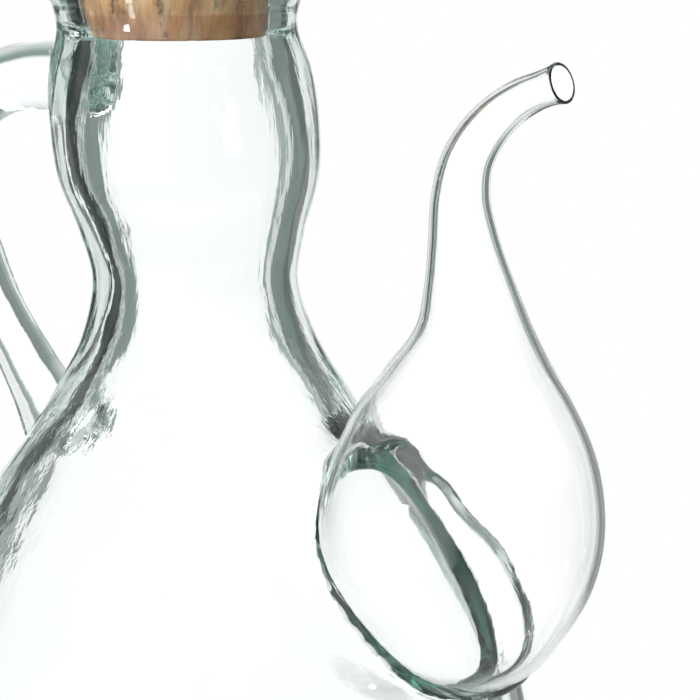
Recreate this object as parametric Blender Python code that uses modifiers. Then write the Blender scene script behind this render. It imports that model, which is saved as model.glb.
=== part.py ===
"""A hand-blown glass oil bottle with a handle, a blown pouring spout and a cork stopper.

Metres, +Z up. The origin is the middle of the flat base, the spout points along +X
and the handle is at -X.
"""

import math

import bmesh
import bpy
import numpy as np

# Body: (radius, height) down the outer side, from the lip to the base
BODY_OUTLINE = [
    (0.0205, 0.1740),
    (0.0224, 0.1731),
    (0.0228, 0.1700),
    (0.0216, 0.1668),
    (0.0212, 0.1640),
    (0.0227, 0.1580),
    (0.0238, 0.1455),
    (0.0231, 0.1375),
    (0.0199, 0.1280),
    (0.0181, 0.1200),
    (0.0204, 0.1100),
    (0.0262, 0.0995),
    (0.0365, 0.0850),
    (0.0473, 0.0675),
    (0.0556, 0.0500),
    (0.0583, 0.0320),
    (0.0574, 0.0150),
    (0.0535, 0.0040),
    (0.0480, 0.0000),
]

# Cavity below the stopper: (radius, height) from the stopper's foot to the floor
CAVITY_OUTLINE = [
    (0.0164, 0.1585),
    (0.0173, 0.1550),
    (0.0184, 0.1455),
    (0.0177, 0.1375),
    (0.0147, 0.1285),
    (0.0130, 0.1200),
    (0.0150, 0.1100),
    (0.0205, 0.0990),
    (0.0308, 0.0845),
    (0.0418, 0.0670),
    (0.0503, 0.0495),
    (0.0536, 0.0320),
    (0.0527, 0.0175),
    (0.0475, 0.0095),
    (0.0390, 0.0080),
]
FLOOR_DOME_HEIGHT = 0.0100
CUTTER_TOP = 0.1800

# The neck drifts towards the handle above LEAN_START
LEAN_START = 0.0850
LEAN_EASE = 0.0200
LEAN_SLOPE = 0.0970

# Stopper: a tapered cork that stands above the lip
CORK_FOOT = 0.1610
CORK_TOP = 0.1830
CORK_FOOT_RADIUS = 0.0157
CORK_TOP_RADIUS = 0.0180
CORK_EDGE = 0.0007
FIT_GAP = 0.0003
MOUTH_FLARE_START = 0.1715
MOUTH_FLARE_RADIUS = 0.0194

# Spout: (x, height, outer radius) from the foot of its bulb to its lip
SPOUT_STATIONS = [
    (0.0534, 0.0490, 0.0015),
    (0.0534, 0.0501, 0.0068),
    (0.0533, 0.0530, 0.0130),
    (0.0533, 0.0585, 0.0184),
    (0.0536, 0.0660, 0.0229),
    (0.0540, 0.0746, 0.0251),
    (0.0548, 0.0833, 0.0246),
    (0.0552, 0.0919, 0.0225),
    (0.0554, 0.1006, 0.0184),
    (0.0561, 0.1070, 0.0140),
    (0.0571, 0.1136, 0.0100),
    (0.0563, 0.1200, 0.0081),
    (0.0549, 0.1280, 0.0063),
    (0.0542, 0.1351, 0.0053),
    (0.0553, 0.1422, 0.0046),
    (0.0590, 0.1466, 0.0038),
    (0.0646, 0.1505, 0.0031),
    (0.0704, 0.1537, 0.0030),
    (0.0730, 0.1548, 0.0031),
    (0.0750, 0.1554, 0.0036),
]
BULB_WALL = 0.0012
NOZZLE_WALL = 0.0010
BULB_TOP = 0.1030
LIP_OVERCUT = 0.0020

# The rim of glass round the joint is thinnest in front and thickest up at the back
BEAD_THIN_RADIUS = 0.0018
BEAD_THICK_RADIUS = 0.0032
BEAD_THICK_TURN = math.radians(130)
JOINT_FLARE = 0.0006

# Handle: (x, height, radius) of the solid rod, from the neck to the shoulder
HANDLE_STATIONS = [
    (-0.0250, 0.1540, 0.0078),
    (-0.0300, 0.1545, 0.0068),
    (-0.0350, 0.1546, 0.0063),
    (-0.0445, 0.1530, 0.0060),
    (-0.0525, 0.1475, 0.0057),
    (-0.0562, 0.1380, 0.0054),
    (-0.0543, 0.1295, 0.0051),
    (-0.0500, 0.1215, 0.0048),
    (-0.0441, 0.1113, 0.0046),
    (-0.0392, 0.1036, 0.0047),
    (-0.0343, 0.0963, 0.0058),
    (-0.0310, 0.0918, 0.0080),
]

# Facets
TURN_STEPS = 44
BODY_RINGS = 36
CAVITY_RINGS = 22
SPOUT_RINGS = 30
SPOUT_SIDES = 28
HANDLE_RINGS = 24
HANDLE_SIDES = 12
BEAD_POINTS = 40
BEAD_SIDES = 8
CORK_SIDES = 44
WELD_DISTANCE = 0.00001
SMOOTH_ANGLE = math.radians(35)


def clear_scene():
    """Remove every object and collection that the file came with."""
    for thing in list(bpy.data.objects):
        bpy.data.objects.remove(thing, do_unlink=True)
    for group in list(bpy.data.collections):
        bpy.data.collections.remove(group)


def make_collection(name):
    """A collection linked to the scene."""
    group = bpy.data.collections.new(name)
    bpy.context.scene.collection.children.link(group)
    return group


def make_material(name, colour, roughness, transmission=0.0):
    """A Principled BSDF material."""
    material = bpy.data.materials.new(name)
    material.use_nodes = True
    shader = material.node_tree.nodes["Principled BSDF"]
    shader.inputs["Base Color"].default_value = (*colour, 1.0)
    shader.inputs["Metallic"].default_value = 0.0
    shader.inputs["Roughness"].default_value = roughness
    shader.inputs["Transmission Weight"].default_value = transmission
    return material


def smooth_through(knots, count):
    """count points, evenly spaced, on a smooth curve that passes through the knots."""
    knots = np.array(knots)
    lengths = np.linalg.norm(np.diff(knots, axis=0), axis=1)
    starts = np.concatenate(([0.0], np.cumsum(lengths)))
    slopes = np.gradient(knots, starts, axis=0)
    points = []
    for place in np.linspace(0.0, starts[-1], count):
        i = min(int(np.searchsorted(starts, place, side="right")) - 1, len(lengths) - 1)
        t = (place - starts[i]) / lengths[i]
        start_share = 2 * t**3 - 3 * t**2 + 1
        start_pull = (t**3 - 2 * t**2 + t) * lengths[i]
        end_pull = (t**3 - t**2) * lengths[i]
        point = (
            start_share * knots[i]
            + (1 - start_share) * knots[i + 1]
            + start_pull * slopes[i]
            + end_pull * slopes[i + 1]
        )
        points.append(tuple(float(value) for value in point))
    return points


def neck_drift(height):
    """How far the neck's axis stands from the body's axis at a height."""
    above = max(0.0, height - LEAN_START)
    return -LEAN_SLOPE * above**2 / (above + LEAN_EASE)


def lean_with_neck(thing):
    """Shift each level of a piece sideways with the neck's axis."""
    for vertex in thing.data.vertices:
        vertex.co.x += neck_drift(vertex.co.z)


def as_mesh(thing, group):
    """Replace an object by the welded mesh that its modifiers or curve give."""
    bpy.context.view_layer.update()
    graph = bpy.context.evaluated_depsgraph_get()
    mesh = bpy.data.meshes.new_from_object(thing.evaluated_get(graph))
    work = bmesh.new()
    work.from_mesh(mesh)
    bmesh.ops.remove_doubles(work, verts=work.verts, dist=WELD_DISTANCE)
    bmesh.ops.recalc_face_normals(work, faces=work.faces)
    work.to_mesh(mesh)
    work.free()
    name = thing.name
    place = thing.matrix_world.copy()
    bpy.data.objects.remove(thing, do_unlink=True)
    made = bpy.data.objects.new(name, mesh)
    made.matrix_world = place
    group.objects.link(made)
    return made


def turned(name, outline, group):
    """A solid turned round Z from (radius, height) points that run down its outer side."""
    mesh = bpy.data.meshes.new(name)
    corners = [(radius, 0.0, height) for radius, height in outline]
    edges = [(i, i + 1) for i in range(len(corners) - 1)]
    mesh.from_pydata(corners, edges, [])
    profile = bpy.data.objects.new(name, mesh)
    group.objects.link(profile)
    screw = profile.modifiers.new("Turn", "SCREW")
    screw.axis = "Z"
    screw.steps = TURN_STEPS
    screw.render_steps = TURN_STEPS
    screw.use_merge_vertices = True
    screw.merge_threshold = WELD_DISTANCE
    return as_mesh(profile, group)


def tube(name, points, radii, sides, group, closed=False):
    """A round rod along the points, with a radius of its own at each."""
    curve = bpy.data.curves.new(name, "CURVE")
    curve.dimensions = "3D"
    curve.use_fill_caps = not closed
    # A depth of one makes each point's radius a length in metres
    curve.bevel_depth = 1.0
    curve.bevel_resolution = sides // 2 - 2
    spline = curve.splines.new("POLY")
    spline.points.add(len(points) - 1)
    spline.use_cyclic_u = closed
    for point, place, radius in zip(spline.points, points, radii):
        point.co = (*place, 1.0)
        point.radius = radius
    rod = bpy.data.objects.new(name, curve)
    group.objects.link(rod)
    return as_mesh(rod, group)


def combine(target, operand, operation):
    """Join an operand to the target or cut it away, with a Boolean modifier."""
    operand.hide_render = True
    operand.display_type = "WIRE"
    boolean = target.modifiers.new(operand.name, "BOOLEAN")
    boolean.operation = operation
    boolean.solver = "EXACT"
    boolean.object = operand


def cork_radius(height):
    """The stopper's radius at a height."""
    share = (height - CORK_FOOT) / (CORK_TOP - CORK_FOOT)
    return CORK_FOOT_RADIUS + share * (CORK_TOP_RADIUS - CORK_FOOT_RADIUS)


def body_solid(group):
    """The whole outer form of the body, without its hollow."""
    outline = smooth_through(BODY_OUTLINE, BODY_RINGS)
    outline = [(0.0, BODY_OUTLINE[0][1]), *outline, (0.0, BODY_OUTLINE[-1][1])]
    body = turned("bottle", outline, group)
    lean_with_neck(body)
    return body


def cavity_cutter(group):
    """The inside of the body, up through the mouth that holds the stopper."""
    rim = BODY_OUTLINE[0][1]
    mouth = [
        (0.0, CUTTER_TOP),
        (MOUTH_FLARE_RADIUS, CUTTER_TOP),
        (MOUTH_FLARE_RADIUS, rim),
        (cork_radius(MOUTH_FLARE_START) + 2 * FIT_GAP, (rim + MOUTH_FLARE_START) / 2),
        (cork_radius(MOUTH_FLARE_START) + FIT_GAP, MOUTH_FLARE_START),
        (CORK_FOOT_RADIUS + FIT_GAP, CORK_FOOT),
    ]
    inside = smooth_through(CAVITY_OUTLINE, CAVITY_RINGS)
    cutter = turned("cavity_cutter", [*mouth, *inside, (0.0, FLOOR_DOME_HEIGHT)], group)
    lean_with_neck(cutter)
    return cutter


def spout_solid(group):
    """The bulb and nozzle as one solid, out to their outer surface."""
    stations = smooth_through(SPOUT_STATIONS, SPOUT_RINGS)
    points = [(x, 0.0, height) for x, height, radius in stations]
    radii = [radius for x, height, radius in stations]
    return tube("spout_form", points, radii, SPOUT_SIDES, group)


def spout_cutter(group):
    """The hollow of the bulb and nozzle, a wall's thickness in, run out past the lip."""
    stations = np.array(smooth_through(SPOUT_STATIONS, SPOUT_RINGS))
    places = stations[:, :2]
    radii = stations[:, 2]
    walls = np.where(places[:, 1] < BULB_TOP, BULB_WALL, NOZZLE_WALL)
    steps = np.gradient(places, axis=0)
    run = np.linalg.norm(steps, axis=1)
    growth = np.gradient(radii)
    slant = np.hypot(run, growth)
    ways = steps / run[:, None]
    places = places + ways * (walls * growth / slant)[:, None]
    radii = radii - walls * run / slant
    beyond = places[-1] + ways[-1] * LIP_OVERCUT
    points = [(float(x), 0.0, float(height)) for x, height in [*places, beyond]]
    radii = [float(radius) for radius in [*radii, radii[-1]]]
    return tube("spout_cutter", points, radii, SPOUT_SIDES, group)


def joint_bead(group):
    """The thick rim of glass where the bulb is fused round its hole in the body."""
    body = np.array(smooth_through(BODY_OUTLINE, BODY_RINGS))[::-1]
    spout = np.array(smooth_through(SPOUT_STATIONS, SPOUT_RINGS))

    def meeting(height):
        """Where the body's and the bulb's circles cross at a height: x, and y squared."""
        body_radius = np.interp(height, body[:, 1], body[:, 0])
        bulb_x = np.interp(height, spout[:, 1], spout[:, 0])
        bulb_radius = np.interp(height, spout[:, 1], spout[:, 2]) + JOINT_FLARE
        x = (body_radius**2 - bulb_radius**2 + bulb_x**2) / (2 * bulb_x)
        return x, body_radius**2 - x**2

    heights = np.linspace(SPOUT_STATIONS[0][1], BULB_TOP, 400)
    crossing = heights[meeting(heights)[1] > 0]
    middle = (crossing.max() + crossing.min()) / 2
    reach = (crossing.max() - crossing.min()) / 2
    points = []
    radii = []
    for i in range(BEAD_POINTS):
        turn = 2 * math.pi * i / BEAD_POINTS
        height = middle - reach * math.cos(turn)
        x, y_squared = meeting(height)
        y = math.copysign(math.sqrt(max(0.0, y_squared)), math.sin(turn))
        points.append((float(x), y, float(height)))
        thick_share = (1 + math.cos(turn - BEAD_THICK_TURN)) / 2
        radii.append(BEAD_THIN_RADIUS + thick_share * (BEAD_THICK_RADIUS - BEAD_THIN_RADIUS))
    return tube("joint_bead", points, radii, BEAD_SIDES, group, closed=True)


def handle_rod(group):
    """The solid handle, with both ends sunk in the body's wall."""
    stations = smooth_through(HANDLE_STATIONS, HANDLE_RINGS)
    points = [(x, 0.0, height) for x, height, radius in stations]
    radii = [radius for x, height, radius in stations]
    return tube("handle_form", points, radii, HANDLE_SIDES, group)


def build_bottle(parts, cutters):
    """The one piece of glass: body, handle and spout fused, and hollow."""
    bottle = body_solid(parts)
    combine(bottle, handle_rod(cutters), "UNION")
    combine(bottle, spout_solid(cutters), "UNION")
    combine(bottle, joint_bead(cutters), "UNION")
    combine(bottle, cavity_cutter(cutters), "DIFFERENCE")
    combine(bottle, spout_cutter(cutters), "DIFFERENCE")
    bottle.data.materials.append(make_material("glass", (0.86, 0.93, 0.90), 0.03, 1.0))
    bottle.data.shade_smooth()
    bottle.data.set_sharp_from_angle(angle=SMOOTH_ANGLE)


def build_cork(parts):
    """The tapered cork stopper in the mouth."""
    bpy.ops.mesh.primitive_cone_add(
        vertices=CORK_SIDES,
        radius1=CORK_FOOT_RADIUS,
        radius2=CORK_TOP_RADIUS,
        depth=CORK_TOP - CORK_FOOT,
        end_fill_type="NGON",
        location=(0.0, 0.0, (CORK_TOP + CORK_FOOT) / 2),
    )
    cork = bpy.context.object
    cork.name = "cork_stopper"
    for group in list(cork.users_collection):
        group.objects.unlink(cork)
    parts.objects.link(cork)
    edges = cork.modifiers.new("Worn edges", "BEVEL")
    edges.width = CORK_EDGE
    edges.segments = 2
    edges.limit_method = "ANGLE"
    cork = as_mesh(cork, parts)
    middle = cork.location.z
    for vertex in cork.data.vertices:
        vertex.co.x += neck_drift(vertex.co.z + middle)
    cork.data.materials.append(make_material("cork", (0.62, 0.40, 0.22), 0.85))
    cork.data.shade_smooth()
    cork.data.set_sharp_from_angle(angle=SMOOTH_ANGLE)


def main():
    clear_scene()
    parts = make_collection("oil_bottle")
    cutters = make_collection("cutters")
    build_bottle(parts, cutters)
    build_cork(parts)


main()
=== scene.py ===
"""Looks of a hand-blown glass oil bottle with a handle, a thin blown spout and a cork stopper.

Metres, +Z up. The spout points along +X and the handle is at -X. The glass is one closed
mesh: body, handle, spout and joint fused, then hollowed. The cork is a mesh of its own.
"""

import math

import bmesh
import bpy
import numpy as np
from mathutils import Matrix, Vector


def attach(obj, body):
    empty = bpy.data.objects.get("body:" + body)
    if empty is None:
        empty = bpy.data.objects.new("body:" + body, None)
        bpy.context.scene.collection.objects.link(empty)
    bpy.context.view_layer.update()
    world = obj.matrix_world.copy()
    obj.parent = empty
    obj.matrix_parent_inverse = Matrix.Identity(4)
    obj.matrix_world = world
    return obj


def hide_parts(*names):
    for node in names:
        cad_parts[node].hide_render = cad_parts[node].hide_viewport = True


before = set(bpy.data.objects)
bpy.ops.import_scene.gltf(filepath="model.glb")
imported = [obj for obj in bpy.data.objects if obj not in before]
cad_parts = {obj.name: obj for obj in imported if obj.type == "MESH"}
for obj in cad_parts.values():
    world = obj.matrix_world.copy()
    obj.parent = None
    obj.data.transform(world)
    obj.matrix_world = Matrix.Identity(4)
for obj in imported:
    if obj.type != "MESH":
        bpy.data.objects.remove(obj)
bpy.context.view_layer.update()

# The photograph's view
VIEW_AZIMUTH = math.radians(35.0)
VIEW_ELEVATION = math.radians(4.0)
VIEW_DISTANCE = 1.6
VIEW_WIDTH = 0.1229
SENSOR_WIDTH = 36.0
LOOK_AT = Vector((0.0254 * math.cos(VIEW_AZIMUTH), 0.0254 * math.sin(VIEW_AZIMUTH), 0.107))

# Body: (radius, height) down the outer side, from the lip to the base
BODY_OUTLINE = [
    (0.0205, 0.1740),
    (0.0224, 0.1731),
    (0.0228, 0.1700),
    (0.0216, 0.1668),
    (0.0212, 0.1640),
    (0.0227, 0.1580),
    (0.0238, 0.1455),
    (0.0231, 0.1375),
    (0.0199, 0.1280),
    (0.0181, 0.1200),
    (0.0204, 0.1100),
    (0.0262, 0.0995),
    (0.0365, 0.0850),
    (0.0473, 0.0675),
    (0.0556, 0.0500),
    (0.0583, 0.0320),
    (0.0574, 0.0150),
    (0.0535, 0.0040),
    (0.0480, 0.0000),
]

# Cavity below the stopper: (radius, height) from the stopper's foot to the floor
CAVITY_OUTLINE = [
    (0.0164, 0.1585),
    (0.0173, 0.1550),
    (0.0184, 0.1455),
    (0.0177, 0.1375),
    (0.0147, 0.1285),
    (0.0130, 0.1200),
    (0.0150, 0.1100),
    (0.0205, 0.0990),
    (0.0308, 0.0845),
    (0.0418, 0.0670),
    (0.0503, 0.0495),
    (0.0536, 0.0320),
    (0.0527, 0.0175),
    (0.0475, 0.0095),
    (0.0390, 0.0080),
]
FLOOR_DOME_HEIGHT = 0.0100
FLOOR_DOME_RADIUS = 0.0040
CUTTER_TOP = 0.1800

# The neck drifts towards the handle above LEAN_START
LEAN_START = 0.0850
LEAN_EASE = 0.0200
LEAN_SLOPE = 0.0970

# The neck's hollow sits a little off the middle, towards the spout, up to the stopper's seat
HOLLOW_SHIFT = 0.0002
HOLLOW_SHIFT_START = 0.0800
HOLLOW_SHIFT_EASE = 0.0250
HOLLOW_SHIFT_END_EASE = 0.0040

# Stopper
CORK_FOOT = 0.1610
CORK_TOP = 0.1830
CORK_FOOT_RADIUS = 0.0157
CORK_TOP_RADIUS = 0.0180
CORK_EDGE = 0.0007
CORK_PRESSED_BELOW = 0.1662
CORK_PRESSED_EASE = 0.0006
FIT_GAP = 0.0003
MOUTH_FLARE_START = 0.1715
MOUTH_FLARE_RADIUS = 0.0194

# Spout: (x, height, outer radius) from the foot of its bulb to its lip
SPOUT_STATIONS = [
    (0.0534, 0.0490, 0.0015),
    (0.0534, 0.0501, 0.0068),
    (0.0533, 0.0530, 0.0130),
    (0.0533, 0.0585, 0.0184),
    (0.0536, 0.0660, 0.0229),
    (0.0540, 0.0746, 0.0251),
    (0.0548, 0.0833, 0.0246),
    (0.0552, 0.0919, 0.0225),
    (0.0554, 0.1006, 0.0184),
    (0.0561, 0.1070, 0.0140),
    (0.0571, 0.1136, 0.0100),
    (0.0563, 0.1200, 0.0081),
    (0.0549, 0.1280, 0.0063),
    (0.0542, 0.1351, 0.0053),
    (0.0555, 0.1416, 0.0047),
    (0.0589, 0.1468, 0.0042),
    (0.0634, 0.1508, 0.0038),
    (0.0680, 0.1533, 0.0035),
    (0.0710, 0.1544, 0.0033),
    (0.0732, 0.1551, 0.0034),
    (0.0750, 0.1556, 0.0037),
]
BULB_TOP = 0.1030
BULB_WALL = 0.0014
NOZZLE_WALL = 0.0010
WALL_EASE = 0.0200
LIP_WALL = 0.0006
LIP_TAPER = 0.0120
LIP_OVERCUT = 0.0020
# How much the bulb's hollow opens out into the body, at its near side and at its far side
FLARE_NEAR = 0.0006
FLARE_FAR = 0.0026
FLARE_FAR_START = -0.0040
FLARE_FAR_EASE = 0.0120
FLARE_REACH = 0.0030
FLARE_TOP = 0.0900
FLARE_TOP_EASE = 0.0120
# Its rings lie level up to UPRIGHT_BELOW and then tilt with its run
UPRIGHT_BELOW = 0.1180
TILT_EASE = 0.0200

# The rim of glass fused round the hole. Its turns start at its foot and go up the far side
COLLAR_THIN_RADIUS = 0.0009
COLLAR_FOOT_RADIUS = 0.0015
COLLAR_THICK_RADIUS = 0.0029
COLLAR_TONGUE = 0.0014
COLLAR_SUNK = 0.0010
COLLAR_FLARE = 0.0006
COLLAR_CRUMPLES = [(0.0085, 0.00060), (0.0040, 0.00020)]
COLLAR_CALM_SHARE = 0.08
COLLAR_PATH_PASSES = 12
# Where each of its swellings lies, as a lobe: (degrees of turn, steepness, narrowing)
COLLAR_FOOT_LOBE = (-30, 1.6, 0.2)
COLLAR_THICK_LOBE = (92, 1.3, 0.0)
COLLAR_TONGUE_LOBE = (58, 2.4, 1.4)
COLLAR_CRUMPLE_LOBE = (158, 3.6, 2.5)

# How thin the body's wall is at the hole
HOLE_WALL_LOW = 0.0034
HOLE_WALL_HIGH = 0.0022
HOLE_WALL_HEIGHTS = (0.0640, 0.0850)
HOLE_EASE = 0.0140
HOLE_EASE_TOP = 0.1060
HOLE_EASE_RISE = 0.0220

# Handle: (x, height, radius) of the solid rod, from the neck to the shoulder
HANDLE_STATIONS = [
    (-0.0250, 0.1540, 0.0078),
    (-0.0300, 0.1545, 0.0068),
    (-0.0350, 0.1546, 0.0063),
    (-0.0445, 0.1530, 0.0060),
    (-0.0525, 0.1475, 0.0057),
    (-0.0562, 0.1380, 0.0054),
    (-0.0543, 0.1295, 0.0051),
    (-0.0500, 0.1215, 0.0048),
    (-0.0441, 0.1113, 0.0046),
    (-0.0392, 0.1036, 0.0050),
    (-0.0343, 0.0963, 0.0061),
    (-0.0310, 0.0918, 0.0072),
]

# How finely each surface is divided
BODY_SIDES = 150
BODY_RINGS = 170
CAVITY_SIDES = 160
CAVITY_RINGS = 170
SEAT_RINGS = 10
FLOOR_DOME_RINGS = 12
SPOUT_SIDES = 84
SPOUT_RINGS = 160
LIP_RINGS = 6
HANDLE_SIDES = 40
HANDLE_RINGS = 130
COLLAR_SIDES = 24
COLLAR_RINGS = 170
CORK_SIDES = 160
CORK_RINGS = 60
CORK_FACE_SHARES = [0.92, 0.8, 0.65, 0.5, 0.35, 0.2, 0.08]
OUTLINE_SAMPLES = 400
CROSSING_SAMPLES = 800
WELD_DISTANCE = 0.00001
SMALLEST_REACH = 0.000001

# Hand-blown unevenness: (wavelength, height of the waves)
OUTER_WAVES = [(0.040, 0.00010), (0.014, 0.00002)]
INNER_WAVES = [(0.034, 0.00018), (0.012, 0.00004)]
SPOUT_WAVES = [(0.030, 0.00008)]
HANDLE_WAVES = [(0.020, 0.00010), (0.007, 0.00002)]
WAVE_COUNT = 14
WAVELENGTH_SPREAD = (0.75, 1.35)
BODY_SEED = 11
CAVITY_SEED = 23
SPOUT_SEED = 31
COLLAR_SEED = 47
HANDLE_SEED = 59
# The waves fade out towards the base, the cavity's floor and the stopper's seat
BASE_CALM_HEIGHT = 0.0200
FLOOR_CALM_BELOW = 0.0090
FLOOR_CALM_EASE = 0.0100
SEAT_CALM_GAP = 0.0010
SEAT_CALM_EASE = 0.0060

# Pits in the cork, where its waves rise above PIT_START
PIT_WAVES = [(0.0034, 0.0004)]
PIT_SEED = 71
PIT_STRETCH = np.array([1.0, 1.0, 0.6])
PIT_START = 0.00045
PIT_SHARE = 0.9

# Seams are smoothed where the pieces of glass were melted together
SEAM_ANGLE = math.radians(24)
SEAM_REACH = 0.0032
SEAM_PASSES = 14
SEAM_PULL = 0.6
SEAM_BLOCK = 400
FAR_FROM_SEAM = 1.0
# No seam is smoothed at the base, the mouth or the spout's lip
BASE_TOP = 0.0200
MOUTH_SIDES = (-0.0265, 0.0180)
MOUTH_FOOT = 0.1590
LIP_SIDE = 0.0700
LIP_FOOT = 0.1450

# Glass
GLASS_IOR = 1.5
GLASS_TINT = (0.17, 0.57, 0.45)
GLASS_TINT_DENSITY = 9.0
# Its upright streaks fade out across the joint, from the body to the smooth spout
STREAK_SCALE = 330.0
STREAK_STRETCH = 0.16
STREAK_DEPTH = 0.0004
STREAKED_UP_TO = 0.0300
SMOOTH_FROM = 0.0460
STREAKED_STRENGTH = 0.19
SMOOTH_STRENGTH = 0.02

# Cork: (value of the pattern, colour)
CORK_TANS = [(0.30, (0.50, 0.21, 0.08)), (0.48, (0.80, 0.46, 0.22)), (0.66, (0.98, 0.74, 0.47))]
CORK_STREAKS = [(0.36, (0.45, 0.40, 0.36)), (0.56, (1, 1, 1))]
CORK_PORES = [(0.30, (0.10, 0.06, 0.04)), (0.40, (1, 1, 1))]
CORK_STAIN = [(0.0, (0.82, 0.68, 0.60)), (1.0, (1, 1, 1))]
# The same patterns: (scale, upright stretch, detail)
TAN_PATTERN = (150.0, 0.35, 6.0)
STREAK_PATTERN = (420.0, 0.18, 4.0)
PORE_PATTERN = (330.0, 0.45, 3.0)
FINE_PATTERN = (900.0, 0.5, 4.0)
# How strongly the streaks and the pores darken the tan
CORK_STREAK_SHARE = 0.8
CORK_PORE_SHARE = 0.9
CORK_ROUGHNESS = 0.85
CORK_BUMP_STRENGTH = 0.6
CORK_BUMP_DEPTH = 0.0004
CORK_SHARP_ANGLE = math.radians(50)

# The surroundings that the glass shows: (degrees to the right of the photograph's line of
# sight, brightness)
AROUND = [
    (-180, 0.45),
    (-165, 2.20),
    (-120, 2.20),
    (-105, 0.85),
    (-85, 0.85),
    (-74, 0.30),
    (-66, 0.30),
    (-62, 0.90),
    (-49, 0.90),
    (-46, 0.42),
    (-38, 0.42),
    (-34, 0.30),
    (-17, 0.28),
    (-15, 1.18),
    (17, 1.18),
    (19, 0.55),
    (22, 0.40),
    (25, 0.32),
    (28, 0.95),
    (50, 0.95),
    (54, 0.28),
    (62, 0.28),
    (70, 0.42),
    (105, 0.42),
    (140, 0.25),
    (158, 0.50),
    (163, 1.00),
    (176, 1.00),
    (180, 0.45),
]
# The same for light that was reflected inside the glass, which gives clear glass dark edges
AROUND_REFLECTED = [
    (-180, 0.15),
    (-110, 0.15),
    (-100, 0.02),
    (-34, 0.02),
    (-30, 0.20),
    (-26, 0.50),
    (-21, 0.92),
    (13, 0.95),
    (18, 0.10),
    (33, 0.10),
    (38, 0.25),
    (60, 0.25),
    (80, 0.40),
    (120, 0.15),
    (180, 0.15),
]
# The darker a panel, the greener, as the glass is
DARK_TINT = (0.76, 1.0, 0.92)
# The panels overhead and steeply below: where each starts and is full, as a direction's height
OVERHEAD_BRIGHTNESS = 0.90
OVERHEAD_HEIGHTS = (0.45, 0.75)
BELOW_BRIGHTNESS = 0.32
BELOW_HEIGHTS = (-0.36, -0.44)

# The floor fades out from FLOOR_SOLID_RADIUS to its edge
FLOOR_RADIUS = 0.30
FLOOR_SOLID_RADIUS = 0.13
FLOOR_SIDES = 96
FLOOR_DROP = 0.0002
FLOOR_COLOUR = (0.66, 0.67, 0.67)

# Lamps, with their power in watts
LAMP_SIZE = 0.8
LAMP_POWER = 7.0
LAMP_PLACE = Vector((-0.35, -0.1, 1.1))
STRIP_WIDTH = 0.15
STRIP_LENGTH = 0.32
STRIP_POWER = 3.4
STRIP_DISTANCE = 1.2
STRIP_HEIGHT = 0.17
STRIP_AIM_HEIGHT = 0.12
# How far the strip stands to the left of the camera, round the bottle
STRIP_TURN = math.radians(49)

# Light winds through the solid handle and the joint many times
GLASS_BOUNCES = 22

# The colour sockets of Blender's Mix node share their names with its other sockets
MIX_ONE = 6
MIX_TWO = 7
MIX_RESULT = 2


def smooth_through(knots, count):
    """count points, evenly spaced, on a smooth curve that passes through the knots."""
    knots = np.array(knots)
    lengths = np.linalg.norm(np.diff(knots, axis=0), axis=1)
    starts = np.concatenate(([0.0], np.cumsum(lengths)))
    slopes = np.gradient(knots, starts, axis=0)
    places = np.linspace(0.0, starts[-1], count)
    i = np.clip(np.searchsorted(starts, places, side="right") - 1, 0, len(lengths) - 1)
    run = lengths[i][:, None]
    t = (places - starts[i])[:, None] / run
    start_share = 2 * t**3 - 3 * t**2 + 1
    start_pull = (t**3 - 2 * t**2 + t) * run
    end_pull = (t**3 - t**2) * run
    ends = knots[i + 1] * (1 - start_share)
    return knots[i] * start_share + ends + slopes[i] * start_pull + slopes[i + 1] * end_pull


def smooth_step(value):
    """0 below 0, 1 above 1, and an eased ramp between."""
    value = np.clip(value, 0.0, 1.0)
    return value * value * (3 - 2 * value)


def lobe(turns, degrees, steepness, narrowing):
    """Up to 1 round one place on a ring, and 0 at the ring's other side."""
    return smooth_step(steepness * np.cos(turns - math.radians(degrees)) - narrowing)


def neck_drift(height):
    """How far the neck's axis stands from the body's axis at a height."""
    above = np.maximum(0.0, height - LEAN_START)
    return -LEAN_SLOPE * above**2 / (above + LEAN_EASE)


def unevenness(points, waves, seed):
    """A smooth random height at each point: sums of plane waves in random directions."""
    draw = np.random.default_rng(seed)
    total = np.zeros(points.shape[:-1])
    for wavelength, height in waves:
        ways = draw.normal(size=(WAVE_COUNT, 3))
        ways /= np.linalg.norm(ways, axis=1)[:, None]
        phases = draw.uniform(0, 2 * math.pi, WAVE_COUNT)
        lengths = wavelength * draw.uniform(*WAVELENGTH_SPREAD, WAVE_COUNT)
        angles = points @ (ways * (2 * math.pi / lengths)[:, None]).T + phases
        total += height * math.sqrt(2 / WAVE_COUNT) * np.sin(angles).sum(axis=-1)
    return total


def outward(rings):
    """Each point's direction away from its ring's middle, and how far out it lies."""
    away = rings - rings.mean(axis=1, keepdims=True)
    reach = np.linalg.norm(away, axis=-1, keepdims=True)
    return away / np.maximum(reach, SMALLEST_REACH), reach


def swelled(rings, waves, seed, share=1.0):
    """Rings moved in and out by a smooth unevenness, by half of each point's reach at most."""
    away, reach = outward(rings)
    height = unevenness(rings, waves, seed)[..., None] * share
    return rings + away * np.minimum(height, reach * 0.5)


def turned_rings(radii, heights, sides, middle=None):
    """Rings round the body's leaning axis, or round middles of their own."""
    turns = np.linspace(0, 2 * math.pi, sides, endpoint=False)
    middle = neck_drift(heights) if middle is None else middle
    x = middle[:, None] + radii[:, None] * np.cos(turns)
    y = radii[:, None] * np.sin(turns)
    z = np.broadcast_to(heights[:, None], x.shape)
    return np.stack([x, y, z], axis=-1)


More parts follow.
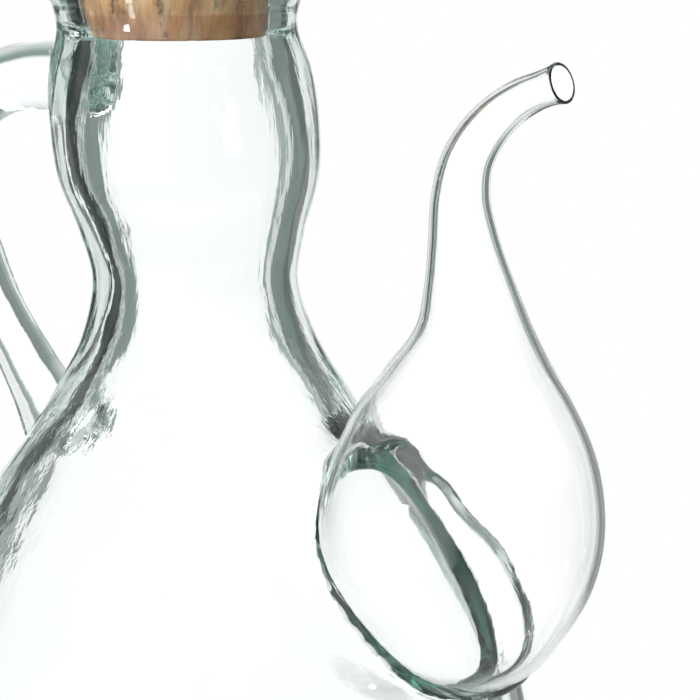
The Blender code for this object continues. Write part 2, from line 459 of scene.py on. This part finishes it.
def rod_ways(places, level_below=0.0):
    """The direction of a rod's run at each place, upright below a height."""
    ways = np.gradient(places, axis=0)
    ways /= np.linalg.norm(ways, axis=1)[:, None]
    tilt = smooth_step((places[:, 1] - level_below) / TILT_EASE)[:, None]
    ways = ways * tilt + np.array([0.0, 1.0]) * (1 - tilt)
    return ways / np.linalg.norm(ways, axis=1)[:, None]


def rod_rings(stations, sides, ways):
    """Rings round a rod in the XZ plane, from its (x, height, radius) stations."""
    turns = np.linspace(0, 2 * math.pi, sides, endpoint=False)
    radii = stations[:, 2][:, None] * np.ones(sides)
    up = np.stack([-ways[:, 1], np.zeros(len(ways)), ways[:, 0]], axis=-1)
    side = np.array([0.0, 1.0, 0.0])
    middle = np.stack([stations[:, 0], np.zeros(len(ways)), stations[:, 1]], axis=-1)
    round_about = up[:, None, :] * np.cos(turns)[None, :, None]
    round_about = round_about + side * np.sin(turns)[None, :, None]
    return middle[:, None, :] + round_about * radii[:, :, None]


def add_object(name, data):
    """A new object in the scene."""
    made = bpy.data.objects.new(name, data)
    bpy.context.scene.collection.objects.link(made)
    return made


def loft(name, rings, closed=False):
    """A closed skin through rings of points: an array of (ring, side, xyz)."""
    count, sides = rings.shape[:2]
    points = rings.reshape(-1, 3)
    index = np.arange(count * sides).reshape(count, sides)
    this = index if closed else index[:-1]
    after = np.roll(index, -1, axis=0) if closed else index[1:]
    corners = [this, np.roll(this, -1, axis=1), np.roll(after, -1, axis=1), after]
    faces = np.stack(corners, axis=-1).reshape(-1, 4).tolist()
    if not closed:
        points = np.vstack([points, rings[0].mean(axis=0), rings[-1].mean(axis=0)])
        start = count * sides
        for i in range(sides):
            j = (i + 1) % sides
            faces.append((index[0, j], index[0, i], start))
            faces.append((index[-1, i], index[-1, j], start + 1))
    mesh = bpy.data.meshes.new(name)
    mesh.from_pydata(points.tolist(), [], faces)
    work = bmesh.new()
    work.from_mesh(mesh)
    bmesh.ops.remove_doubles(work, verts=work.verts, dist=WELD_DISTANCE)
    bmesh.ops.recalc_face_normals(work, faces=work.faces)
    work.to_mesh(mesh)
    work.free()
    return add_object(name, mesh)


def body_outer_radius(heights):
    """The body's outer radius at heights, from its outline."""
    outline = smooth_through(BODY_OUTLINE, OUTLINE_SAMPLES)[::-1]
    return np.interp(heights, outline[:, 1], outline[:, 0])


def bulb_circle(heights):
    """The x of the spout's middle and its outer radius at heights."""
    stations = smooth_through(SPOUT_STATIONS, OUTLINE_SAMPLES)
    x = np.interp(heights, stations[:, 1], stations[:, 0])
    return x, np.interp(heights, stations[:, 1], stations[:, 2])


def bulb_gap(points):
    """How far each point stands outside the bulb's outer surface, measured level."""
    x, radius = bulb_circle(points[..., 2])
    gap = np.hypot(points[..., 0] - x, points[..., 1]) - radius
    below = SPOUT_STATIONS[0][1] - points[..., 2]
    return np.where(below > 0, np.maximum(gap, below), gap)


def body_form():
    """The body's whole outer form, with the hand-blown unevenness of its wall."""
    outline = smooth_through(BODY_OUTLINE, BODY_RINGS)
    rings = turned_rings(outline[:, 0], outline[:, 1], BODY_SIDES)
    uneven = smooth_step(outline[:, 1] / BASE_CALM_HEIGHT)[:, None, None]
    return loft("bottle_glass", swelled(rings, OUTER_WAVES, BODY_SEED, uneven))


def cavity_outline():
    """The cavity's (radius, height) from above the mouth, down the seat and to the floor."""
    rim = BODY_OUTLINE[0][1]
    foot_radius = CORK_FOOT_RADIUS + FIT_GAP
    flare_share = (MOUTH_FLARE_START - CORK_FOOT) / (CORK_TOP - CORK_FOOT)
    flare_radius = CORK_FOOT_RADIUS + flare_share * (CORK_TOP_RADIUS - CORK_FOOT_RADIUS)
    mouth = [
        (MOUTH_FLARE_RADIUS, CUTTER_TOP),
        (MOUTH_FLARE_RADIUS, rim),
        (flare_radius + 2 * FIT_GAP, (rim + MOUTH_FLARE_START) / 2),
        (flare_radius + FIT_GAP, MOUTH_FLARE_START),
    ]
    seat = np.linspace(mouth[-1], (foot_radius, CORK_FOOT), SEAT_RINGS)
    inside = smooth_through([(foot_radius, CORK_FOOT), *CAVITY_OUTLINE], CAVITY_RINGS)
    dome = np.linspace(inside[-1], (FLOOR_DOME_RADIUS, FLOOR_DOME_HEIGHT), FLOOR_DOME_RINGS)
    return np.vstack([mouth, seat[1:-1], inside, dome[1:]])


def cavity_form():
    """The hollow of the body, up through the mouth, thinner-walled round the spout's hole."""
    outline = cavity_outline()
    heights = outline[:, 1]
    off = HOLLOW_SHIFT * smooth_step((heights - HOLLOW_SHIFT_START) / HOLLOW_SHIFT_EASE)
    off = off * smooth_step((CORK_FOOT - heights) / HOLLOW_SHIFT_END_EASE)
    middle = neck_drift(heights) + off
    rings = turned_rings(outline[:, 0], heights, CAVITY_SIDES, middle)
    # Round the hole the wall thins, most of all at its top
    near = 1 - smooth_step(bulb_gap(rings) / HOLE_EASE)
    near = near * smooth_step((HOLE_EASE_TOP - heights) / HOLE_EASE_RISE)[:, None]
    low, high = HOLE_WALL_HEIGHTS
    rise = smooth_step((heights - low) / (high - low))
    hole_radius = body_outer_radius(heights) - HOLE_WALL_LOW
    hole_radius = hole_radius + rise * (HOLE_WALL_LOW - HOLE_WALL_HIGH)
    turns = np.arctan2(rings[..., 1], rings[..., 0] - middle[:, None])
    radii = outline[:, 0][:, None]
    radii = radii + near * np.maximum(0, hole_radius - outline[:, 0])[:, None]
    rings[..., 0] = middle[:, None] + radii * np.cos(turns)
    rings[..., 1] = radii * np.sin(turns)
    uneven = smooth_step((CORK_FOOT - SEAT_CALM_GAP - heights) / SEAT_CALM_EASE)[:, None, None]
    above_floor = smooth_step((heights - FLOOR_CALM_BELOW) / FLOOR_CALM_EASE)[:, None, None]
    uneven = uneven * above_floor
    return loft("cavity_form", swelled(rings, INNER_WAVES, CAVITY_SEED, uneven))


def spout_inside(stations, ways):
    """Stations of the spout's hollow, in by the wall, which is thinner towards the lip."""
    run = np.linalg.norm(np.gradient(stations[:, :2], axis=0), axis=1)
    growth = np.gradient(stations[:, 2])
    slant = np.hypot(run, growth)
    nozzle_share = smooth_step((stations[:, 1] - BULB_TOP) / WALL_EASE)
    walls = BULB_WALL + (NOZZLE_WALL - BULB_WALL) * nozzle_share
    to_lip = run[::-1].cumsum()[::-1]
    walls = LIP_WALL + (walls - LIP_WALL) * smooth_step(to_lip / LIP_TAPER)
    inside = stations.copy()
    inside[:, :2] += ways * (walls * growth / slant)[:, None]
    inside[:, 2] -= walls * run / slant
    return inside


def flared(rings):
    """Rings of the bulb's hollow, opened out where it meets the body, most at the far side."""
    from_body = np.hypot(rings[..., 0], rings[..., 1])
    from_body = from_body - body_outer_radius(rings[..., 2])
    share = smooth_step((FLARE_REACH - from_body) / (2 * FLARE_REACH))
    share = share * smooth_step((FLARE_TOP - rings[..., 2]) / FLARE_TOP_EASE)
    far_share = smooth_step((rings[..., 1] - FLARE_FAR_START) / FLARE_FAR_EASE)
    flare = (FLARE_NEAR + (FLARE_FAR - FLARE_NEAR) * far_share) * share
    away, _ = outward(rings)
    return rings + away * flare[..., None]


def spout_forms():
    """The spout's outer form, and its hollow, a wall's thickness in."""
    outside = smooth_through(SPOUT_STATIONS, SPOUT_RINGS)
    ways = rod_ways(outside[:, :2], UPRIGHT_BELOW)
    inside = spout_inside(outside, ways)
    end_way = ways[-1]
    # The lip is rounded as by a flame
    curve = np.linspace(0, math.pi / 2, LIP_RINGS + 1)[1:, None]
    ahead = outside[-1, :2] + end_way * np.sin(curve) * LIP_WALL / 2
    drawn_in = (1 - np.cos(curve)) * LIP_WALL / 2
    lip_ways = np.tile(end_way, (LIP_RINGS, 1))
    outer_lip = np.hstack([ahead, outside[-1, 2] - drawn_in])
    outer_ways = np.vstack([ways, lip_ways])
    outer_rings = rod_rings(np.vstack([outside, outer_lip]), SPOUT_SIDES, outer_ways)
    outer = loft("spout_form", swelled(outer_rings, SPOUT_WAVES, SPOUT_SEED))
    inner_lip = np.hstack([ahead, inside[-1, 2] + drawn_in])
    beyond = np.append(inner_lip[-1, :2] + end_way * LIP_OVERCUT, inner_lip[-1, 2])
    level_end = np.append(outside[-1, :2], inside[-1, 2])
    inside = np.vstack([inside[:-1], level_end, inner_lip, beyond])
    inner_rings = rod_rings(inside, SPOUT_SIDES, np.vstack([ways, lip_ways, end_way]))
    inner = loft("spout_hollow", swelled(flared(inner_rings), SPOUT_WAVES, SPOUT_SEED))
    return outer, inner


def joint_crossing(heights):
    """Where the body's and the widened bulb's circles cross at heights: x, and y squared."""
    body_radius = body_outer_radius(heights)
    bulb_x, bulb_radius = bulb_circle(heights)
    bulb_radius = bulb_radius + COLLAR_FLARE
    x = (body_radius**2 - bulb_radius**2 + bulb_x**2) / (2 * bulb_x)
    return x, body_radius**2 - x**2


def collar_path(turns):
    """The joint's path at turns from its foot, and the height of its middle."""
    heights = np.linspace(SPOUT_STATIONS[0][1], BULB_TOP, CROSSING_SAMPLES)
    crossing = heights[joint_crossing(heights)[1] > 0]
    middle = (crossing.max() + crossing.min()) / 2
    reach = (crossing.max() - crossing.min()) / 2
    height = middle - reach * np.cos(turns)
    x, y_squared = joint_crossing(height)
    y = np.sqrt(np.maximum(0.0, y_squared)) * np.sign(np.sin(turns))
    path = np.stack([x, y, height], axis=-1)
    # Even steps along the ring, and a smooth run over its top and foot
    for _ in range(COLLAR_PATH_PASSES):
        path = (np.roll(path, 1, axis=0) + 2 * path + np.roll(path, -1, axis=0)) / 4
    return path, middle


def collar_form():
    """The thick rim of glass where the bulb is fused round its hole in the body."""
    turns = np.linspace(0, 2 * math.pi, COLLAR_RINGS, endpoint=False)
    path, middle = collar_path(turns)
    ways = np.roll(path, -1, axis=0) - np.roll(path, 1, axis=0)
    ways /= np.linalg.norm(ways, axis=1)[:, None]
    out = path - np.array([0.0, 0.0, middle])
    out[:, 2] = 0
    out /= np.linalg.norm(out, axis=1)[:, None]
    across = np.cross(ways, out)
    across /= np.linalg.norm(across, axis=1)[:, None]
    out = np.cross(across, ways)
    foot_share = lobe(turns, *COLLAR_FOOT_LOBE)
    thick_share = lobe(turns, *COLLAR_THICK_LOBE)
    thin = COLLAR_THIN_RADIUS + foot_share * (COLLAR_FOOT_RADIUS - COLLAR_THIN_RADIUS)
    radii = thin + thick_share * (COLLAR_THICK_RADIUS - thin)
    reaches = radii + COLLAR_TONGUE * lobe(turns, *COLLAR_TONGUE_LOBE)
    path = path + out * (reaches - COLLAR_SUNK)[:, None]
    angles = np.linspace(0, 2 * math.pi, COLLAR_SIDES, endpoint=False)
    rings = path[:, None, :] + (out * reaches[:, None])[:, None, :] * np.cos(angles)[:, None]
    rings = rings + (across * radii[:, None])[:, None, :] * np.sin(angles)[:, None]
    crumpled = lobe(turns, *COLLAR_CRUMPLE_LOBE)
    crumpled = COLLAR_CALM_SHARE + (1 - COLLAR_CALM_SHARE) * crumpled
    rings = swelled(rings, COLLAR_CRUMPLES, COLLAR_SEED, crumpled[:, None, None])
    return loft("collar_form", rings, closed=True)


def handle_form():
    """The solid handle, with both ends sunk in the body's wall."""
    stations = smooth_through(HANDLE_STATIONS, HANDLE_RINGS)
    rings = rod_rings(stations, HANDLE_SIDES, rod_ways(stations[:, :2]))
    return loft("handle_form", swelled(rings, HANDLE_WAVES, HANDLE_SEED))


def combine(target, operand, operation):
    """Join an operand to the target, or cut it away, and remove the operand."""
    boolean = target.modifiers.new(operand.name, "BOOLEAN")
    boolean.operation = operation
    boolean.solver = "EXACT"
    boolean.object = operand
    bpy.context.view_layer.update()
    graph = bpy.context.evaluated_depsgraph_get()
    mesh = bpy.data.meshes.new_from_object(target.evaluated_get(graph))
    target.modifiers.clear()
    target.data = mesh
    bpy.data.objects.remove(operand, do_unlink=True)


def seam_place(edge):
    """Whether an edge lies where seams are smoothed."""
    middle = (edge.verts[0].co + edge.verts[1].co) / 2
    left, right = MOUTH_SIDES
    at_mouth = left < middle.x < right and middle.z > MOUTH_FOOT
    at_lip = middle.x > LIP_SIDE and middle.z > LIP_FOOT
    return middle.z > BASE_TOP and not at_mouth and not at_lip


def seam_points(work, places):
    """The places of the vertices on sharp edges between two fused pieces."""
    seam = set()
    for edge in work.edges:
        if len(edge.link_faces) != 2:
            continue
        one, two = edge.link_faces
        bend = one.normal.angle(two.normal, 0.0)
        if bend > SEAM_ANGLE and seam_place(edge):
            seam.update((edge.verts[0].index, edge.verts[1].index))
    return places[sorted(seam)]


def melt_seams(thing):
    """Smooth the mesh beside the edges where fused pieces meet, as melted glass is."""
    work = bmesh.new()
    work.from_mesh(thing.data)
    bmesh.ops.dissolve_degenerate(work, edges=work.edges, dist=WELD_DISTANCE)
    bmesh.ops.triangulate(work, faces=[f for f in work.faces if len(f.verts) > 4])
    work.verts.ensure_lookup_table()
    work.edges.ensure_lookup_table()
    places = np.array([v.co for v in work.verts])
    seam = seam_points(work, places)
    distance = np.full(len(places), FAR_FROM_SEAM)
    for start in range(0, len(seam), SEAM_BLOCK):
        part = seam[start:start + SEAM_BLOCK]
        low = part.min(axis=0) - SEAM_REACH
        high = part.max(axis=0) + SEAM_REACH
        close = np.where(np.all((places > low) & (places < high), axis=1))[0]
        gaps = np.linalg.norm(places[close][:, None, :] - part[None, :, :], axis=-1)
        distance[close] = np.minimum(distance[close], gaps.min(axis=1))
    weight = 1 - smooth_step(distance / SEAM_REACH)
    pairs = np.array([(e.verts[0].index, e.verts[1].index) for e in work.edges])
    pairs = pairs[(weight[pairs[:, 0]] > 0) | (weight[pairs[:, 1]] > 0)]
    for _ in range(SEAM_PASSES):
        total = np.zeros_like(places)
        count = np.zeros(len(places))
        np.add.at(total, pairs[:, 0], places[pairs[:, 1]])
        np.add.at(total, pairs[:, 1], places[pairs[:, 0]])
        np.add.at(count, pairs.ravel(), 1)
        mean = total / np.maximum(count, 1)[:, None]
        places = places + (mean - places) * (weight * SEAM_PULL * (count > 0))[:, None]
    for vertex, place in zip(work.verts, places):
        vertex.co = place
    work.to_mesh(thing.data)
    work.free()


def give(tree, value, socket):
    """Link another node's output to a socket, or set a number or colour on it."""
    if isinstance(value, bpy.types.NodeSocket):
        tree.links.new(value, socket)
    else:
        socket.default_value = value


def set_inputs(tree, node, **values):
    """Fill a node's inputs by name, with underscores for the spaces."""
    for name, value in values.items():
        give(tree, value, node.inputs[name.replace("_", " ")])


def add_node(tree, kind, **values):
    """A new shader node with inputs filled by name."""
    node = tree.nodes.new("ShaderNode" + kind)
    set_inputs(tree, node, **values)
    return node


def calculated(tree, operation, one, two):
    """A Math node on two values."""
    node = add_node(tree, "Math")
    node.operation = operation
    give(tree, one, node.inputs[0])
    give(tree, two, node.inputs[1])
    return node


def mixed(tree, share, one, two, kind="MIX"):
    """Two colours mixed by a share."""
    node = add_node(tree, "Mix", Factor=share)
    node.data_type = "RGBA"
    node.blend_type = kind
    give(tree, one, node.inputs[MIX_ONE])
    give(tree, two, node.inputs[MIX_TWO])
    return node.outputs[MIX_RESULT]


def colour_ramp(tree, value, stops):
    """The colour for a value between stops of (value, colour)."""
    node = add_node(tree, "ValToRGB", Fac=value)
    while len(node.color_ramp.elements) < len(stops):
        node.color_ramp.elements.new(0.5)
    for element, (position, colour) in zip(node.color_ramp.elements, stops):
        element.position = position
        element.color = (*colour, 1)
    return node.outputs["Color"]


def new_material(name):
    """A material with its node tree and its shader."""
    material = bpy.data.materials.new(name)
    material.use_nodes = True
    return material, material.node_tree, material.node_tree.nodes["Principled BSDF"]


def glass_material():
    """Clear glass with a faint green tint that gathers where it is thick."""
    material, tree, shader = new_material("glass")
    set_inputs(tree, shader, Base_Color=(1, 1, 1, 1), Roughness=0.0)
    set_inputs(tree, shader, IOR=GLASS_IOR, Transmission_Weight=1.0)
    depth = add_node(tree, "VolumeAbsorption", Color=(*GLASS_TINT, 1), Density=GLASS_TINT_DENSITY)
    set_inputs(tree, tree.nodes["Material Output"], Volume=depth.outputs["Volume"])
    place = add_node(tree, "TexCoord").outputs["Object"]
    stretch = add_node(tree, "Mapping", Vector=place, Scale=(1.0, 1.0, STREAK_STRETCH))
    ripple = add_node(tree, "TexNoise", Scale=STREAK_SCALE, Detail=3.0, Roughness=0.50)
    set_inputs(tree, ripple, Vector=stretch.outputs["Vector"])
    apart = add_node(tree, "SeparateXYZ", Vector=place)
    streaked = add_node(tree, "MapRange", Value=apart.outputs["X"])
    set_inputs(tree, streaked, From_Min=STREAKED_UP_TO, From_Max=SMOOTH_FROM)
    set_inputs(tree, streaked, To_Min=STREAKED_STRENGTH, To_Max=SMOOTH_STRENGTH)
    bump = add_node(tree, "Bump", Distance=STREAK_DEPTH, Strength=streaked.outputs["Result"])
    set_inputs(tree, bump, Height=ripple.outputs["Fac"])
    set_inputs(tree, shader, Normal=bump.outputs["Normal"])
    return material


def cork_material():
    """Natural cork: warm tan with upright grain, brown flecks and dark pores."""
    material, tree, shader = new_material("cork")
    place = add_node(tree, "TexCoord").outputs["Object"]

    def pattern(scale, stretch, detail):
        mapping = add_node(tree, "Mapping", Vector=place, Scale=(1.0, 1.0, stretch))
        texture = add_node(tree, "TexNoise", Scale=scale, Detail=detail, Roughness=0.6)
        set_inputs(tree, texture, Vector=mapping.outputs["Vector"])
        return texture.outputs["Fac"]

    colour = colour_ramp(tree, pattern(*TAN_PATTERN), CORK_TANS)
    streaks = colour_ramp(tree, pattern(*STREAK_PATTERN), CORK_STREAKS)
    pores = colour_ramp(tree, pattern(*PORE_PATTERN), CORK_PORES)
    colour = mixed(tree, CORK_STREAK_SHARE, colour, streaks, "MULTIPLY")
    colour = mixed(tree, CORK_PORE_SHARE, colour, pores, "MULTIPLY")
    # Where the glass presses it, the cork is darker and redder
    apart = add_node(tree, "SeparateXYZ", Vector=place)
    pressed = add_node(tree, "MapRange", Value=apart.outputs["Z"])
    free_from = CORK_PRESSED_BELOW + CORK_PRESSED_EASE
    set_inputs(tree, pressed, From_Min=CORK_PRESSED_BELOW, From_Max=free_from)
    stain = colour_ramp(tree, pressed.outputs["Result"], CORK_STAIN)
    colour = mixed(tree, 1.0, colour, stain, "MULTIPLY")
    grain = calculated(tree, "ADD", pattern(*PORE_PATTERN), pattern(*FINE_PATTERN))
    bump = add_node(tree, "Bump", Strength=CORK_BUMP_STRENGTH, Distance=CORK_BUMP_DEPTH)
    set_inputs(tree, bump, Height=grain.outputs["Value"])
    set_inputs(tree, shader, Base_Color=colour, Roughness=CORK_ROUGHNESS)
    set_inputs(tree, shader, Normal=bump.outputs["Normal"])
    return material


def build_glass():
    """The bottle's one piece of glass."""
    glass = body_form()
    spout, hollow = spout_forms()
    combine(glass, handle_form(), "UNION")
    combine(glass, spout, "UNION")
    combine(glass, collar_form(), "UNION")
    combine(glass, cavity_form(), "DIFFERENCE")
    combine(glass, hollow, "DIFFERENCE")
    melt_seams(glass)
    glass.data.shade_smooth()
    glass.data.materials.clear()
    glass.data.materials.append(glass_material())
    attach(glass, "root")
    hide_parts("bottle")


def build_cork():
    """The tapered cork, with softly worn edges and real pits in its surface."""
    share = np.linspace(0, 1, CORK_RINGS)
    heights = CORK_FOOT + share * (CORK_TOP - CORK_FOOT)
    radii = CORK_FOOT_RADIUS + share * (CORK_TOP_RADIUS - CORK_FOOT_RADIUS)
    depth = np.minimum(heights - CORK_FOOT, CORK_TOP - heights)
    edge = np.clip(1 - depth / CORK_EDGE, 0, 1)
    radii = radii - CORK_EDGE * (1 - np.sqrt(1 - edge**2))
    rings = turned_rings(radii, heights, CORK_SIDES)

    def drawn_in(ring, share):
        return ring + (ring.mean(axis=0) - ring) * (1 - share)

    foot = np.array([drawn_in(rings[0], share) for share in CORK_FACE_SHARES[::-1]])
    top = np.array([drawn_in(rings[-1], share) for share in CORK_FACE_SHARES])
    rings = np.concatenate([foot, rings, top])
    waves = unevenness(rings * PIT_STRETCH, PIT_WAVES, PIT_SEED)
    pits = np.maximum(0, waves - PIT_START) * PIT_SHARE
    away, _ = outward(rings)
    cork = loft("cork_body", rings - away * pits[..., None])
    cork.data.shade_smooth()
    cork.data.set_sharp_from_angle(angle=CORK_SHARP_ANGLE)
    cork.data.materials.append(cork_material())
    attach(cork, "root")
    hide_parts("cork_stopper")


def panel_stops(table):
    """Ramp stops of (share of the full turn, colour) for a table of panels."""
    stops = []
    for degrees, brightness in table:
        pale = min(1.0, brightness)
        tint = [pale + (1 - pale) * channel for channel in DARK_TINT]
        stops.append(((degrees + 180) / 360, [brightness * channel for channel in tint]))
    return stops


def make_world():
    """A pale backdrop to the eye, and a studio of bright panels and dark gaps to the glass."""
    world = bpy.data.worlds.new("studio")
    bpy.context.scene.world = world
    world.use_nodes = True
    tree = world.node_tree
    tree.nodes.clear()
    place = add_node(tree, "TexCoord").outputs["Generated"]

    def along(way):
        node = add_node(tree, "VectorMath")
        node.operation = "DOT_PRODUCT"
        give(tree, place, node.inputs[0])
        give(tree, way, node.inputs[1])
        return node.outputs["Value"]

    def between(value, start, end):
        node = add_node(tree, "MapRange", Value=value, From_Min=start, From_Max=end)
        return node.outputs["Result"]

    ahead = along((-math.sin(VIEW_AZIMUTH), math.cos(VIEW_AZIMUTH), 0))
    right = along((math.cos(VIEW_AZIMUTH), math.sin(VIEW_AZIMUTH), 0))
    up = along((0, 0, 1))
    turn = calculated(tree, "ARCTAN2", right, ahead).outputs["Value"]
    turn = between(turn, -math.pi, math.pi)
    path = add_node(tree, "LightPath")
    bounces = path.outputs["Glossy Depth"]
    reflected = calculated(tree, "MULTIPLY", bounces, path.outputs["Is Transmission Ray"])
    reflected.use_clamp = True
    passed_panels = colour_ramp(tree, turn, panel_stops(AROUND))
    reflected_panels = colour_ramp(tree, turn, panel_stops(AROUND_REFLECTED))
    shown = mixed(tree, reflected.outputs["Value"], passed_panels, reflected_panels)
    overhead = (*[OVERHEAD_BRIGHTNESS] * 3, 1)
    shown = mixed(tree, between(up, *OVERHEAD_HEIGHTS), shown, overhead)
    below = (*[BELOW_BRIGHTNESS * channel for channel in DARK_TINT], 1)
    shown = mixed(tree, between(up, *BELOW_HEIGHTS), shown, below)
    shown = mixed(tree, path.outputs["Is Camera Ray"], shown, (1, 1, 1, 1))
    background = add_node(tree, "Background", Color=shown)
    add_node(tree, "OutputWorld", Surface=background.outputs["Background"])


def make_floor():
    """A pale floor that fades out into the backdrop."""
    mesh = bpy.data.meshes.new("floor")
    work = bmesh.new()
    bmesh.ops.create_circle(work, cap_ends=True, radius=FLOOR_RADIUS, segments=FLOOR_SIDES)
    work.to_mesh(mesh)
    work.free()
    floor = add_object("floor", mesh)
    floor.location.z = -FLOOR_DROP
    material, tree, shader = new_material("floor")
    length = add_node(tree, "VectorMath")
    length.operation = "LENGTH"
    give(tree, add_node(tree, "TexCoord").outputs["Object"], length.inputs[0])
    fade = add_node(tree, "MapRange", Value=length.outputs["Value"], To_Min=1.0, To_Max=0.0)
    fade.interpolation_type = "SMOOTHSTEP"
    set_inputs(tree, fade, From_Min=FLOOR_SOLID_RADIUS, From_Max=FLOOR_RADIUS)
    set_inputs(tree, shader, Base_Color=(*FLOOR_COLOUR, 1), Roughness=0.9)
    set_inputs(tree, shader, Alpha=fade.outputs["Result"])
    mesh.materials.append(material)


def place_light(light, place, target):
    """Stand a light at a place, aimed at a target and hidden from the camera."""
    lamp = add_object(light.name, light)
    lamp.location = place
    lamp.rotation_euler = (target - place).to_track_quat("-Z", "Y").to_euler()
    lamp.visible_camera = False


def make_lights():
    """A large soft light above the bottle, and a strip light to the left of the camera."""
    above = bpy.data.lights.new("overhead", "AREA")
    above.shape = "DISK"
    above.size = LAMP_SIZE
    above.energy = LAMP_POWER
    place_light(above, LAMP_PLACE, Vector((0, 0, 0)))
    strip = bpy.data.lights.new("strip", "AREA")
    strip.shape = "RECTANGLE"
    strip.size = STRIP_WIDTH
    strip.size_y = STRIP_LENGTH
    strip.energy = STRIP_POWER
    turn = VIEW_AZIMUTH - STRIP_TURN
    way = Vector((math.sin(turn), -math.cos(turn), 0))
    place = way * STRIP_DISTANCE + Vector((0, 0, STRIP_HEIGHT))
    place_light(strip, place, Vector((0, 0, STRIP_AIM_HEIGHT)))


def make_camera():
    """The photograph's view."""
    camera = bpy.data.cameras.new("camera")
    camera.sensor_width = SENSOR_WIDTH
    camera.lens = SENSOR_WIDTH * VIEW_DISTANCE / VIEW_WIDTH
    holder = add_object("camera", camera)
    back = Vector((
        math.sin(VIEW_AZIMUTH) * math.cos(VIEW_ELEVATION),
        -math.cos(VIEW_AZIMUTH) * math.cos(VIEW_ELEVATION),
        math.sin(VIEW_ELEVATION),
    ))
    holder.location = LOOK_AT + back * VIEW_DISTANCE
    holder.rotation_euler = (-back).to_track_quat("-Z", "Y").to_euler()
    bpy.context.scene.camera = holder


scene = bpy.context.scene
scene.view_settings.view_transform = "Standard"
scene.cycles.max_bounces = GLASS_BOUNCES
scene.cycles.transmission_bounces = GLASS_BOUNCES
scene.cycles.glossy_bounces = GLASS_BOUNCES
make_world()
make_floor()
make_lights()
make_camera()
build_glass()
build_cork()
